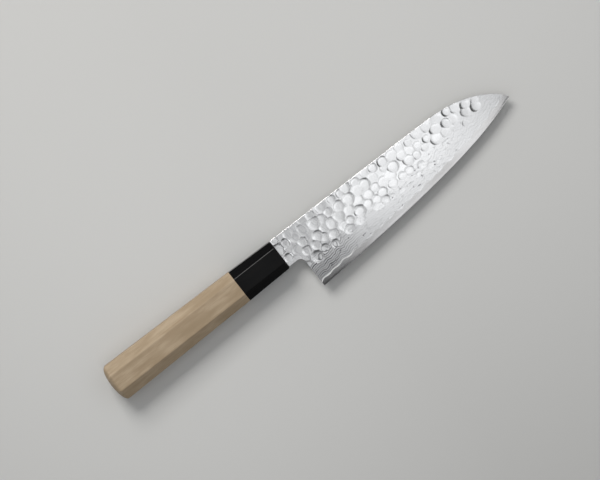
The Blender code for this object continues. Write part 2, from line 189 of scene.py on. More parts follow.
# Core steel
CORE_CLOUD = {"size": 0.005, "along": 3.0}
CORE_CLOUD_RAMP = (0.3, 0.7)
SCRATCHES = {"size": 0.0005, "along": 25.0, "detail": 3.0}
SCRATCH_ROUGHNESS = 0.10
SCRATCH_RELIEF = 0.000003

# Black horn
HORN_RUN = {"size": 0.003, "along": 7.0, "detail": 3.0}
HORN_RUN_RAMP = (0.4, 0.8)
HORN_POLISH = {"size": 0.0004, "along": 20.0}
HORN_POLISH_ROUGHNESS = 0.08
HORN_ROUGHNESS = 0.18
HORN_RELIEF = 0.000004
HORN_SPECULAR = 0.16

# Magnolia
WOOD_CLOUD = {"size": 0.0055, "along": 3.5, "detail": 3.0}
WOOD_CLOUD_RAMP = (0.35, 0.65)
WOOD_BANDS = {"size": 0.0024, "along": 22.0, "detail": 3.0}
WOOD_BAND_RAMP = (0.42, 0.66, 0.0, 0.33)
WOOD_BAND_ROUGHNESS = 0.1
WOOD_FIBRES = {"size": 0.00045, "along": 30.0}
WOOD_PORE_RAMP = (0.54, 0.70, 0.0, 0.4)
WOOD_ROUGHNESS = 0.58
WOOD_RELIEF = 0.00002
WOOD_SPECULAR = 0.35

# Bedding resin and table
RESIN_CLOUD = {"size": 0.002}
RESIN_SHADE = 0.7
RESIN_ROUGHNESS_RAMP = (0.3, 0.7, 0.35, 0.55)
TABLE_CLOUD = {"size": 0.4}
TABLE_SHADE = 0.97
TABLE_ROUGHNESS = 0.85

# The studio: a grid of soft panels over the blade, each with its strength
PANEL_HEIGHT = 0.32
PANEL_X = (-0.056, -0.012, 0.010, 0.030, 0.050, 0.075, 0.145)
PANEL_Y = (-0.155, -0.075, -0.048, -0.015, 0.140)
PANEL_STRENGTHS = (
    (0.00, 0.00, 0.00, 0.44, 0.76, 0.92),
    (0.44, 0.40, 0.41, 0.50, 0.54, 0.72),
    (0.72, 0.40, 0.63, 1.18, 1.42, 1.46),
    (0.86, 0.41, 0.54, 0.82, 0.98, 1.00),
)

# The panels at either end: where each starts and stops in x, y and z, and its strength
TIP_PANEL_HEIGHT = 0.61
END_PANELS = {
    "tip_panel": ((0.145, 0.266), (-0.310, 0.250), (PANEL_HEIGHT, TIP_PANEL_HEIGHT), 1.0),
    "edge_panel": ((0.263, 0.325), (-0.265, -0.208), (TIP_PANEL_HEIGHT, TIP_PANEL_HEIGHT), 1.1),
    "handle_panel": ((-0.185, -0.120), (-0.155, 0.140), (PANEL_HEIGHT, PANEL_HEIGHT), 2.7),
}

# The square key lamp
KEY_DISTANCE = 1.4
KEY_SIZE = 0.6

# The room's light, from the floor's level at 0 to straight overhead at 1
CEILING_RAMP = (0.6, 0.8)
WALL_RAMP = (0.0, 0.35, 0.3, 1.1)

# Width of the camera's sensor in millimetres
SENSOR_WIDTH = 36.0

# The sockets that a mix node uses for colours
MIX_SHARE = 0
MIX_LOW = 6
MIX_HIGH = 7
MIX_RESULT = 2

# One blow of the hammer: where it lands, how wide and deep it is, and how its bottom slopes
Mark = namedtuple("Mark", "middle radius depth tilt")


def between(low, high, share):
    """The value that lies that share of the way from low to high."""
    return low + (high - low) * share


def steps(low, high, count):
    """The values after low, up to and including high."""
    return [between(low, high, (step + 1) / count) for step in range(count)]


def spine_y(x):
    """Height of the spine: nearly straight, then bent down over the nose, with a hook at the tip."""
    bend = max(0.0, (x - BLADE_REACH + NOSE_LENGTH) / NOSE_LENGTH)
    drop = SPINE_HEIGHT - SPINE_FALL - TIP_BLUNT / 2 + TIP_DROP
    bent = between(bend**NOSE_POWER, bend**HOOK_POWER, HOOK_SHARE)
    return SPINE_HEIGHT - SPINE_FALL * x / BLADE_REACH - drop * bent


def edge_y(x):
    """Height of the cutting edge: nearly straight at the heel, then swept up to the tip."""
    along = max(0.0, (x - HEEL_SETBACK) / (BLADE_REACH - HEEL_SETBACK))
    straight = (1 - BELLY_SHARE - SWEEP_SHARE) * along
    curved = BELLY_SHARE * along**BELLY_POWER + SWEEP_SHARE * along**SWEEP_POWER
    return between(-HEEL_DEPTH, -TIP_DROP - TIP_BLUNT / 2, straight + curved)


def clad_crest_y(x):
    """The top of the band that the waves of the clad line lie in."""
    dip = CLAD_LINE_DIP * math.exp(-max(0.0, x - HEEL_SETBACK) / CLAD_DIP_LENGTH)
    return edge_y(x) + CLAD_LINE_HEIGHT + CLAD_LINE_WAVE - dip


def clad_line_y(x):
    """Where the cladding ends above the edge."""
    turn = 2 * math.pi * (x - HEEL_SETBACK) / CLAD_LINE_PITCH
    wave = between(math.sin(turn), math.sin(CLAD_RIPPLE_RATE * turn), CLAD_RIPPLE_SHARE)
    return clad_crest_y(x) - CLAD_LINE_WAVE * (1 - wave)


def choil_y(x):
    """Underside of the neck, and the round that leads from it to the heel."""
    past = max(0.0, x - HEEL_SETBACK + CHOIL_RADIUS)
    return -NECK_DEPTH - CHOIL_RADIUS + math.sqrt(CHOIL_RADIUS**2 - min(past, CHOIL_RADIUS) ** 2)


def stock_half(x):
    """Half the thickness of the unground blade, which thins towards the tip."""
    return between(SPINE_THICKNESS, NOSE_THICKNESS, max(0.0, x) / BLADE_REACH) / 2


def ground_z(x, y):
    """The convex ground bevel, from the bare core up to the full thickness."""
    climb = max(0.0, y - edge_y(x) - CLAD_LINE_HEIGHT) / (GRIND_HEIGHT - CLAD_LINE_HEIGHT)
    return between(CLAD_INNER_FACE, stock_half(x), climb**GRIND_POWER)


def clad_end():
    """Where the clad line has nearly reached the spine, near the tip."""
    low, high = HEEL_SETBACK, BLADE_REACH
    while high - low > WELD_GAP:
        middle = (low + high) / 2
        if spine_y(middle) - clad_line_y(middle) > CLAD_NOSE:
            low = middle
        else:
            high = middle
    return low


def hammer_marks(side, steel):
    """The blows on one side of the blade, in staggered rows that start at the spine."""
    chance = random.Random(MARK_SEED + side)

    def stray(most):
        return chance.uniform(-1, 1) * most

    rows = math.ceil((SPINE_HEIGHT + HEEL_DEPTH - GRIND_HEIGHT) / MARK_ROW_PITCH) + 1
    marks = []
    for row in range(rows):
        for place in range(math.ceil(BLADE_REACH / MARK_PITCH)):
            x = (place + 0.5 - row % 2 / 2) * MARK_PITCH + stray(MARK_SCATTER)
            y = spine_y(min(x, BLADE_REACH)) - MARK_FIRST_ROW - row * MARK_ROW_PITCH
            y += stray(MARK_SCATTER)
            scale = 1 + stray(MARK_RADIUS_SPREAD)
            depth = steel.mark_depth * scale * (1 + stray(MARK_DEPTH_SPREAD))
            tilt = Vector((stray(MARK_TILT), stray(MARK_TILT)))
            marks.append(Mark(Vector((x, y)), steel.mark_radius * scale, depth, tilt))
    return marks


def dent(marks, x, y):
    """How deep the blows go at one place. Each leaves a flat, slightly tilted bottom and a steep rim."""
    deepest = 0.0
    for mark in marks:
        offset = Vector((x, y)) - mark.middle
        away = min(1.0, offset.length / mark.radius)
        deepest = max(deepest, (mark.depth + mark.tilt.dot(offset)) * (1 - away**MARK_POWER))
    return deepest


def new_verts(made):
    """The vertices among what an operation on a mesh has made."""
    return [item for item in made["geom"] if isinstance(item, bmesh.types.BMVert)]


def blade_columns(step, end):
    """Places of a blade sheet's columns, and the number of them that are neck."""
    start = HEEL_SETBACK - CHOIL_RADIUS
    neck = [0.0] + steps(0.0, start, round(start / step))
    for turn in steps(0.0, math.pi / 2, CHOIL_COLUMNS):
        neck.append(start + CHOIL_RADIUS * math.sin(turn))
    blade = steps(HEEL_SETBACK, end, round((end - HEEL_SETBACK) / step))
    return neck + blade, len(neck) - 1


def blade_sheet(columns, neck, rows, first, place):
    """A grid with a column at each x, bent to the blade's outline and face by place(x, in_neck, row).

    The neck's columns have no rows below the first, which leaves the heel's back edge standing free.
    """
    mesh = bmesh.new()
    last = len(columns) - 1
    half = 0.5
    bmesh.ops.create_grid(mesh, x_segments=last, y_segments=rows, size=half)
    spare = []
    for vert in mesh.verts:
        column, row = round((vert.co.x + half) * last), round((vert.co.y + half) * rows)
        if column < neck and row < first:
            spare.append(vert)
        vert.co = (columns[column], *place(columns[column], column < neck, row))
    bmesh.ops.delete(mesh, geom=spare, context="VERTS")
    return mesh


def build_wall(mesh, floor_z):
    """Drops a wall from the sheet's border to floor_z, and closes it up where it has no height."""
    rim = [edge for edge in mesh.edges if edge.is_boundary]
    for vert in new_verts(bmesh.ops.extrude_edge_only(mesh, edges=rim)):
        vert.co.z = floor_z
    bmesh.ops.remove_doubles(mesh, verts=mesh.verts, dist=MERGE_DISTANCE)


def draw_tang(mesh):
    """Pulls the tang backwards out of the shoulder, and draws it in towards its end."""
    shoulder = []
    for face in mesh.faces:
        if all(abs(vert.co.x) < FLAT_TOLERANCE for vert in face.verts):
            if abs(face.calc_center_median().y) < TANG_ROOT_HEIGHT / 2:
                shoulder.append(face)
    narrowed = TANG_END_HEIGHT / TANG_ROOT_HEIGHT
    for vert in new_verts(bmesh.ops.extrude_face_region(mesh, geom=shoulder)):
        vert.co = (-TANG_LENGTH, vert.co.y * narrowed, vert.co.z)
    bmesh.ops.delete(mesh, geom=[face for face in shoulder if face.is_valid], context="FACES")


def above_line(co):
    """How far a place lies above the clad line."""
    return co.y - clad_line_y(co.x)


def layer_level(co):
    """How high a place lies in the stack of layers, which ripples along with the clad line."""
    ripple = clad_line_y(co.x) - edge_y(co.x) - CLAD_LINE_HEIGHT
    return co.z - ripple * (SPINE_THICKNESS - CORE_THICKNESS) / 2 / (GRIND_HEIGHT - CLAD_LINE_HEIGHT)


def store(mesh, name, value):
    """Keeps value(place) with each of the mesh's vertices, for a finish to read."""
    layer = mesh.verts.layers.float.new(name)
    for vert in mesh.verts:
        vert[layer] = value(vert.co)


def laid_down():
    """The knife's place on the table: it lies on the tapering side facet of its handle."""
    swell = (BUTT_THICKNESS - FRONT_THICKNESS) / 2
    lean = math.atan2(swell, HANDLE_LENGTH - BUTT_DOME)
    x = (HANDLE_LENGTH - BLADE_REACH) / 2 * math.cos(lean)
    y = (HEEL_DEPTH - BUTT_HEIGHT / 2) / 2
    z = FRONT_THICKNESS / 2 * math.cos(lean)
    return Matrix.Translation((x, y, z)) @ Matrix.Rotation(lean, 4, "Y")


def new_object(name, data):
    """An object in the scene, in place of the one that an earlier run has left."""
    if name in bpy.data.objects:
        bpy.data.objects.remove(bpy.data.objects[name])
    placed = bpy.data.objects.new(name, data)
    bpy.context.scene.collection.objects.link(placed)
    return placed


def mesh_object(name, mesh, finish):
    """An object of the finished mesh and its material."""
    data = bpy.data.meshes.new(name)
    mesh.to_mesh(data)
    mesh.free()
    data.materials.append(finish)
    return new_object(name, data)


def add_piece(name, mesh, finish, node):
    """Lays the finished mesh down in the frame, as the piece that stands for the CAD node."""
    bmesh.ops.transform(mesh, matrix=laid_down(), verts=mesh.verts)
    bmesh.ops.recalc_face_normals(mesh, faces=mesh.faces)
    piece = mesh_object(name, mesh, finish)
    piece.data.shade_smooth()
    piece.data.set_sharp_from_angle(angle=SMOOTH_ANGLE)
    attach(piece, "root")
    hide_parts(node)
    return piece


def make_cladding(side, name, node, steel):
    """One side's softer steel: hammered and ground outside, flat inside, feathered above the edge."""
    marks = hammer_marks(side, steel)
    columns, neck = blade_columns(CLAD_STEP, clad_end())
    close = {x: [mark for mark in marks if abs(mark.middle.x - x) < mark.radius] for x in columns}
    heel_line, heel_top = clad_line_y(HEEL_SETBACK), spine_y(HEEL_SETBACK) - SPINE_EASE
    first = round(CLAD_ROWS * (choil_y(HEEL_SETBACK) - heel_line) / (heel_top - heel_line))

    def place(x, in_neck, row):
        top = spine_y(x) - SPINE_EASE
        rise = min(row, CLAD_ROWS)
        if in_neck:
            y = between(choil_y(x), top, max(0, rise - first) / (CLAD_ROWS - first))
        else:
            y = between(clad_line_y(x), top, rise / CLAD_ROWS)
        if row == 0:
            return y, CLAD_INNER_FACE
        turn = math.pi / 2 * max(0, row - CLAD_ROWS) / EASE_ROWS
        y += SPINE_EASE * math.sin(turn)
        struck = stock_half(x) - dent(close[x], x, y) - SPINE_EASE * (1 - math.cos(turn))
        return y, max(min(struck, ground_z(x, y)), CLAD_INNER_FACE + CLAD_FEATHER)

    mesh = blade_sheet(columns, neck, CLAD_ROWS + EASE_ROWS, first, place)
    build_wall(mesh, CLAD_INNER_FACE)
    bmesh.ops.contextual_create(mesh, geom=[edge for edge in mesh.edges if edge.is_boundary])
    draw_tang(mesh)
    store(mesh, "layer_height", layer_level)
    store(mesh, "line_height", above_line)
    if side < 0:
        bmesh.ops.scale(mesh, vec=(1, 1, -1), verts=mesh.verts)
    add_piece(name, mesh, clad_finish(steel), node)


def make_core(steel):
    """The hard core, bare along the edge. Half of it is drawn and mirrored."""
    end = clad_end()
    end_share = (clad_line_y(end) - edge_y(end)) / (spine_y(end) - edge_y(end))
    line_row = BEVEL_ROWS + BAND_ROWS
    first = line_row + INNER_ROWS

    def line_y(x):
        return clad_line_y(x) if x <= end else between(edge_y(x), spine_y(x), end_share)

    def bevel_y(x):
        return edge_y(x) + min(EDGE_BEVEL_HEIGHT, (line_y(x) - edge_y(x)) / 2)

    heel_line = line_y(HEEL_SETBACK)
    heel_share = (choil_y(HEEL_SETBACK) - heel_line) / (spine_y(HEEL_SETBACK) - heel_line)

    def place(x, in_neck, row):
        split = choil_y(x) if in_neck else between(line_y(x), spine_y(x), heel_share)
        if row <= BEVEL_ROWS:
            y = between(edge_y(x), bevel_y(x), row / BEVEL_ROWS)
        elif row <= line_row:
            y = between(bevel_y(x), line_y(x), (row - BEVEL_ROWS) / BAND_ROWS)
        elif row <= first:
            y = between(line_y(x), split, (row - line_row) / INNER_ROWS)
        else:
            y = between(split, spine_y(x), (row - first) / NECK_ROWS)
        climb = min(1.0, (y - bevel_y(x)) / (clad_crest_y(x) - bevel_y(x)))
        bevel = (y - edge_y(x)) * EDGE_BEVEL_THICKNESS / EDGE_BEVEL_HEIGHT
        return y, min(bevel, between(EDGE_BEVEL_THICKNESS, CORE_THICKNESS, climb)) / 2

    columns, neck = blade_columns(CORE_STEP, BLADE_REACH)
    mesh = blade_sheet(columns, neck, first + NECK_ROWS, first, place)
    build_wall(mesh, 0.0)
    whole = mesh.verts[:] + mesh.edges[:] + mesh.faces[:]
    other_half = new_verts(bmesh.ops.duplicate(mesh, geom=whole))
    bmesh.ops.scale(mesh, vec=(1, 1, -1), verts=other_half)
    bmesh.ops.remove_doubles(mesh, verts=mesh.verts, dist=MERGE_DISTANCE)
    draw_tang(mesh)
    store(mesh, "line_height", above_line)
    add_piece("bare_core", mesh, core_finish(steel), "core_steel")


def handle_size(x):
    """(height, thickness) of the handle at x, which swells from the ferrule's face to the butt."""
    back = -x
    full_back = HANDLE_LENGTH - BUTT_DOME
    if back < FERRULE_LENGTH:
        height = between(FRONT_HEIGHT, JOINT_HEIGHT, back / FERRULE_LENGTH)
    else:
        share = (back - FERRULE_LENGTH) / (full_back - FERRULE_LENGTH)
        height = between(JOINT_HEIGHT, BUTT_HEIGHT, share)
    return height, between(FRONT_THICKNESS, BUTT_THICKNESS, back / full_back)


def corners(x):
    """The eight corners of the handle's section at x."""
    height, thickness = handle_size(x)
    high, thick, side, top = height / 2, thickness / 2, SIDE_FACET / 2, TOP_FACET / 2
    section = [(high, -top), (high, top), (side, thick), (-side, thick)]
    section += [(-high, top), (-high, -top), (-side, -thick), (side, -thick)]
    return [Vector((x, y, z)) for y, z in section]


def pull(mesh, face, place):
    """Extrudes a face and puts each corner of the new one where place(old corner) says."""
    grown = bmesh.ops.extrude_face_region(mesh, geom=[face])
    for vert in new_verts(grown):
        vert.co = place(vert.co)
    if face.is_valid:
        bmesh.ops.delete(mesh, geom=[face], context="FACES")
    return next(item for item in grown["geom"] if isinstance(item, bmesh.types.BMFace))


def nearest_end(moves, co):
    """The end of the (start, end) move that starts nearest to a place."""
    return min(moves, key=lambda move: (move[0] - co).length)[1]


def bar(xs, arris):
    """An eight-sided bar through the sections at xs, its long edges rounded to arris, open behind."""
    mesh = bmesh.new()
    section = corners(xs[0])
    made = bmesh.ops.create_circle(mesh, cap_ends=True, segments=len(section), radius=1.0)["verts"]
    for vert, corner in zip(made, section):
        vert.co = corner
    face = mesh.faces[:][0]
    for before, x in pairwise(xs):
        moves = list(zip(corners(before), corners(x)))
        face = pull(mesh, face, lambda co, moves=moves: nearest_end(moves, co))
    long_edges = [edge for edge in mesh.edges if abs(edge.verts[0].co.x - edge.verts[1].co.x) > arris]
    bmesh.ops.bevel(
        mesh,
        geom=long_edges,
        offset=arris * math.tan(math.pi / len(section)),
        offset_type="OFFSET",
        affect="EDGES",
        segments=ARRIS_SEGMENTS,
        profile=0.5,
        material=-1,
        clamp_overlap=False,
    )
    return mesh


def end_face(mesh, x):
    """The face that closes the bar in the plane x."""
    flat = [face for face in mesh.faces if abs(face.calc_center_median().x - x) < FLAT_TOLERANCE]
    return max(flat, key=lambda face: face.calc_area())


def draw_in(mesh, face, rings):
    """Extrudes a face through rings of (x, share), each drawn to that share of the first face."""
    before = 1.0
    for x, share in rings:
        drawn = share / before
        face = pull(mesh, face, lambda co, x=x, drawn=drawn: (x, co.y * drawn, co.z * drawn))
        before = share
    return face


def open_edges(mesh, x):
    """The open edges of the mesh that lie in the plane x."""
    edges = [edge for edge in mesh.edges if edge.is_boundary or edge.is_wire]
    return [edge for edge in edges if all(abs(vert.co.x - x) < FLAT_TOLERANCE for vert in edge.verts)]


def add_ring(mesh, x, radius):
    """A circle of edges round the handle's axis at x."""
    for vert in bmesh.ops.create_circle(mesh, segments=ROUND_SEGMENTS, radius=radius)["verts"]:
        vert.co = (x, vert.co.x, vert.co.y)


def add_slot_ring(mesh, x, height, width, corner):
    """The outline of a slot with rounded corners, in edges at x."""
    known = set(mesh.faces)
    high, wide = height / 2, width / 2
    places = ((high, -wide), (high, wide), (-high, wide), (-high, -wide))
    made = bmesh.ops.create_circle(mesh, cap_ends=True, segments=len(places), radius=1.0)["verts"]
    for vert, place in zip(made, places):
        vert.co = (x, *place)
    bmesh.ops.bevel(
        mesh,
        geom=made,
        offset=corner,
        offset_type="OFFSET",
        affect="VERTICES",
        segments=SLOT_CORNER_SEGMENTS,
        profile=0.5,
        material=-1,
    )
    face = next(face for face in mesh.faces if face not in known)
    bmesh.ops.delete(mesh, geom=[face], context="FACES_ONLY")


def bridge(mesh, x):
    """Closes the face between the two open rows of edges in the plane x."""
    bmesh.ops.bridge_loops(mesh, edges=open_edges(mesh, x))


def run_on(mesh, start, end, share=1.0):
    """Extrudes the open row of edges at start to the plane end, drawn in to share of its size."""
    for vert in new_verts(bmesh.ops.extrude_edge_only(mesh, edges=open_edges(mesh, start))):
        vert.co = (end, vert.co.y * share, vert.co.z * share)


def make_ferrule(handle):
    """Black horn with a rounded front rim, bored for the tenon and slotted for the tang."""
    back, start = -FERRULE_LENGTH, -JOINT_GAP - FERRULE_ROUND
    mesh = bar([back] + steps(back, start, FERRULE_STEPS), handle.ferrule_arris)
    rim = []
    for turn in steps(0.0, math.pi / 2, RIM_STEPS):
        share = 1 - FERRULE_ROUND * (1 - math.cos(turn)) / (FRONT_HEIGHT / 2)
        rim.append((start + FERRULE_ROUND * math.sin(turn), share))
    face = draw_in(mesh, end_face(mesh, start), rim)
    bmesh.ops.delete(mesh, geom=[face], context="FACES_ONLY")
    add_ring(mesh, back, TENON_RADIUS + SEAT_GAP)
    bridge(mesh, back)
    bottom = TENON_LENGTH + BORE_CLEARANCE - FERRULE_LENGTH
    run_on(mesh, back, bottom)
    height, width = TANG_ROOT_HEIGHT + 2 * SEAT_GAP, SPINE_THICKNESS + 2 * SEAT_GAP
    add_slot_ring(mesh, bottom, height, width, SEAT_GAP)
    bridge(mesh, bottom)
    run_on(mesh, bottom, -JOINT_GAP)
    bridge(mesh, -JOINT_GAP)
    piece = add_piece("horn_ferrule", mesh, horn_finish(handle), "ferrule")
    piece.modifiers.new("Flat facets", "WEIGHTED_NORMAL").keep_sharp = True


def make_handle(handle):
    """Magnolia, swelling to a domed butt, with a turned tenon and a milled slot for the tang."""
    front, back = -FERRULE_LENGTH - JOINT_GAP, BUTT_DOME - HANDLE_LENGTH
    mesh = bar([front] + steps(front, back, HANDLE_STEPS), handle.wood_arris)
    turns = steps(0.0, DOME_TURN, DOME_STEPS)
    dome = [(back - BUTT_DOME * math.sin(turn), math.cos(turn)) for turn in turns]
    draw_in(mesh, end_face(mesh, back), dome)
    end = TENON_LENGTH - FERRULE_LENGTH
    add_ring(mesh, front, TENON_RADIUS)
    bridge(mesh, front)
    run_on(mesh, front, end - TENON_LEAD)
    run_on(mesh, end - TENON_LEAD, end, 1 - TENON_LEAD / TENON_RADIUS)
    room = 2 * (BEDDING_WALL + 2 * SEAT_GAP)
    width = SPINE_THICKNESS + room
    add_slot_ring(mesh, end, TANG_ROOT_HEIGHT + room, width, SLOT_END_ROUND * width / 2)
    bridge(mesh, end)
    bottom = -TANG_LENGTH - BEDDING_END - 2 * SEAT_GAP
    run_on(mesh, end, bottom)
    bmesh.ops.contextual_create(mesh, geom=open_edges(mesh, bottom))
    piece = add_piece("magnolia_handle", mesh, wood_finish(handle), "handle_body")
    piece.modifiers.new("Flat facets", "WEIGHTED_NORMAL").keep_sharp = True


def set_input(tree, socket, value):
    """Links the socket to another node's output, or sets it to a plain value."""
    if isinstance(value, bpy.types.NodeSocket):
        tree.links.new(value, socket)
    else:
        socket.default_value = value


def plug_in(tree, node, **inputs):
    """Sets the node's inputs by name, with _ for a space."""
    for name, value in inputs.items():
        set_input(tree, node.inputs[name.replace("_", " ")], value)


def add_node(tree, kind, settings=None, **inputs):
    """A node with its settings and its inputs."""
    node = tree.nodes.new(kind)
    for name, value in (settings or {}).items():
        setattr(node, name, value)
    plug_in(tree, node, **inputs)
    return node


def calculate(tree, operation, first, second=0.0, third=0.0):
    """The outcome of one operation on up to three values."""
    node = add_node(tree, "ShaderNodeMath", {"operation": operation})
    for socket, value in zip(node.inputs, (first, second, third)):
        set_input(tree, socket, value)
    return node.outputs["Value"]


def product(tree, first, *others):
    """The values multiplied together."""
    for other in others:
        first = calculate(tree, "MULTIPLY", first, other)
    return first


def ramp(tree, value, start, stop, low=0.0, high=1.0):
    """A smooth climb from low to high while value goes from start to stop."""
    smooth = {"interpolation_type": "SMOOTHSTEP"}
    ends = {"From_Min": start, "From_Max": stop, "To_Min": low, "To_Max": high}
    return add_node(tree, "ShaderNodeMapRange", smooth, Value=value, **ends).outputs["Result"]


def noise(tree, position, size, along=1.0, across=1.0, detail=2.0):
    """A cloudy pattern around a half. Its features have the size, times along or across."""
    scale = (1 / along, 1 / across, 1.0)
    drawn_out = add_node(tree, "ShaderNodeMapping", Vector=position, Scale=scale).outputs["Vector"]
    node = add_node(tree, "ShaderNodeTexNoise", Vector=drawn_out, Scale=1 / size, Detail=detail)
    return node.outputs["Fac"]


def swing(tree, pattern, size):
    """The pattern turned into a push of up to half of size to either side."""
    return calculate(tree, "MULTIPLY", calculate(tree, "SUBTRACT", pattern, 0.5), size)


def mix(tree, share, low, high):
    """The colour that lies that share of the way from low to high."""
    node = add_node(tree, "ShaderNodeMix", {"data_type": "RGBA"})
    for socket, value in ((MIX_SHARE, share), (MIX_LOW, low), (MIX_HIGH, high)):
        set_input(tree, node.inputs[socket], value)
    return node.outputs[MIX_RESULT]


def attribute(tree, name):
    """What is stored with the piece's vertices under the name."""
    return add_node(tree, "ShaderNodeAttribute", {"attribute_name": name}).outputs["Fac"]


def one_axis(tree, vector, axis):
    """How far a place or a direction reaches along one axis."""
    return add_node(tree, "ShaderNodeSeparateXYZ", Vector=vector).outputs[axis]


def solid(colour):
    """The colour without transparency."""
    return (*colour, 1.0)


def shaded(colour, share):
    """The colour, darkened to that share of its brightness."""
    return solid([channel * share for channel in colour])


def new_finish(name):
    """A material with an empty shader, and the piece's own coordinates."""
    finish = bpy.data.materials.get(name) or bpy.data.materials.new(name)
    finish.use_nodes = True
    tree = finish.node_tree
    tree.nodes.clear()
    shader = add_node(tree, "ShaderNodeBsdfPrincipled")
    add_node(tree, "ShaderNodeOutputMaterial", Surface=shader.outputs["BSDF"])
    position = add_node(tree, "ShaderNodeTexCoord").outputs["Object"]
    return finish, tree, shader, position


def raise_by(tree, shader, height, depth):
    """Gives the surface a relief: height goes from 0 to 1, and depth is in metres."""
    bump = add_node(tree, "ShaderNodeBump", Height=height, Distance=depth)
    plug_in(tree, shader, Normal=bump.outputs["Normal"])


def layer_lines(tree, position, layer_pitch):
    """The dark layers, which follow the stack's height through its folds and curls, some bolder."""
    level = attribute(tree, "layer_height")
    for pattern, depth in ((FOLDS, FOLD_DEPTH), (CURLS, CURL_DEPTH)):
        level = calculate(tree, "ADD", level, swing(tree, noise(tree, position, **pattern), depth))
    turns = product(tree, level, 2 * math.pi / layer_pitch)
    lines = ramp(tree, calculate(tree, "SINE", turns), *LINE_RAMP)
    slow_turns = product(tree, turns, BOLD_RATE)
    return product(tree, lines, ramp(tree, calculate(tree, "SINE", slow_turns), *BOLD_RAMP))


def layer_knots(tree, position, above, reach):
    """Small eyes with a ring round them, where the grind has gone through the top of a fold."""
    knots = noise(tree, position, **KNOTS)
    rings = product(tree, ramp(tree, knots, *KNOT_RING_RISE), ramp(tree, knots, *KNOT_RING_FALL))
    eyes = calculate(tree, "MAXIMUM", ramp(tree, knots, *KNOT_EYE_RAMP), rings)
    return product(tree, eyes, ramp(tree, above, *KNOT_HEIGHTS), ramp(tree, reach, *KNOT_REACHES))


def clad_finish(steel):
    """Bright satin steel in many folded layers, which come out as lines wherever it is cut."""
    finish, tree, shader, position = new_finish("Clad steel")
    above = attribute(tree, "line_height")
    heel_x = laid_down().translation.x + HEEL_SETBACK
    reach = calculate(tree, "SUBTRACT", one_axis(tree, position, "X"), heel_x)

    lines = layer_lines(tree, position, steel.layer_pitch)
    by_reach = ramp(tree, reach, *LINE_REACHES, 1.0, steel.far_contrast)
    by_height = ramp(tree, above, *LINE_HEIGHTS, 1.0, steel.hammered_contrast)
    patches = ramp(tree, noise(tree, position, **PATCHES), *PATCH_RAMP)
    knots = layer_knots(tree, position, above, reach)
    shown = calculate(tree, "MAXIMUM", product(tree, lines, by_reach, by_height, patches), knots)
    nickel = product(tree, ramp(tree, above, *NICKEL_HEIGHTS), ramp(tree, reach, *NICKEL_REACHES))
    body = mix(tree, shown, solid(steel.clad_colour), solid(steel.layer_colour))
    colour = mix(tree, nickel, body, solid(steel.nickel_colour))
    metallic = calculate(tree, "MULTIPLY_ADD", nickel, -NICKEL_PALENESS, 1.0)

    ground = ramp(tree, above, *HAMMERED_HEIGHTS, steel.ground_roughness, steel.hammered_roughness)
    etched = calculate(tree, "MULTIPLY_ADD", shown, LINE_ROUGHNESS, ground)
    grit = swing(tree, noise(tree, position, **GRIT), GRIT_ROUGHNESS)
    rough = calculate(tree, "ADD", etched, grit)
    plug_in(tree, shader, Base_Color=colour, Metallic=metallic, Roughness=rough)
    raise_by(tree, shader, lines, LINE_RELIEF)
    return finish


def core_finish(steel):
    """Hard satin steel, with the fine scratches of the whetstone along the edge."""
    finish, tree, shader, position = new_finish("Core steel")
    cloud = ramp(tree, noise(tree, position, **CORE_CLOUD), *CORE_CLOUD_RAMP)
    colour = mix(tree, cloud, solid(steel.core_colour), solid(steel.core_shade))
    scratches = noise(tree, position, **SCRATCHES)
    rough = calculate(tree, "ADD", swing(tree, scratches, SCRATCH_ROUGHNESS), steel.core_roughness)
    plug_in(tree, shader, Base_Color=colour, Metallic=1.0, Roughness=rough)
    raise_by(tree, shader, scratches, SCRATCH_RELIEF)
    return finish


def horn_finish(handle):
    """Polished black horn with a faint, cloudy run along it."""
    finish, tree, shader, position = new_finish("Black horn")
    run = ramp(tree, noise(tree, position, **HORN_RUN), *HORN_RUN_RAMP)
    colour = mix(tree, run, solid(handle.horn_colour), solid(handle.horn_shade))
    polish = noise(tree, position, **HORN_POLISH)
    rough = calculate(tree, "ADD", swing(tree, polish, HORN_POLISH_ROUGHNESS), HORN_ROUGHNESS)
    plug_in(tree, shader, Base_Color=colour, Roughness=rough, Specular_IOR_Level=HORN_SPECULAR)
    raise_by(tree, shader, polish, HORN_RELIEF)
    return finish


def wood_finish(handle):
    """Bare magnolia: pale and even, with soft bands, fine fibres and short pores along it."""
    finish, tree, shader, position = new_finish("Magnolia")
    cloud = ramp(tree, noise(tree, position, **WOOD_CLOUD), *WOOD_CLOUD_RAMP)
    pale = mix(tree, cloud, solid(handle.wood_colour), solid(handle.wood_blush))
    bands = noise(tree, position, **WOOD_BANDS)
    grain = solid(handle.grain_colour)
    banded = mix(tree, ramp(tree, bands, *WOOD_BAND_RAMP), pale, grain)
    fibres = noise(tree, position, **WOOD_FIBRES)
    colour = mix(tree, ramp(tree, fibres, *WOOD_PORE_RAMP), banded, grain)
    rough = calculate(tree, "ADD", swing(tree, bands, WOOD_BAND_ROUGHNESS), WOOD_ROUGHNESS)
    plug_in(tree, shader, Base_Color=colour, Roughness=rough, Specular_IOR_Level=WOOD_SPECULAR)
    raise_by(tree, shader, fibres, WOOD_RELIEF)
    return finish


def resin_finish(handle):
    """Amber resin, a little cloudy with wood dust."""
    finish, tree, shader, position = new_finish("Bedding resin")
    cloud = noise(tree, position, **RESIN_CLOUD)
    colour = mix(tree, cloud, solid(handle.resin_colour), shaded(handle.resin_colour, RESIN_SHADE))
    plug_in(tree, shader, Base_Color=colour, Roughness=ramp(tree, cloud, *RESIN_ROUGHNESS_RAMP))
    return finish


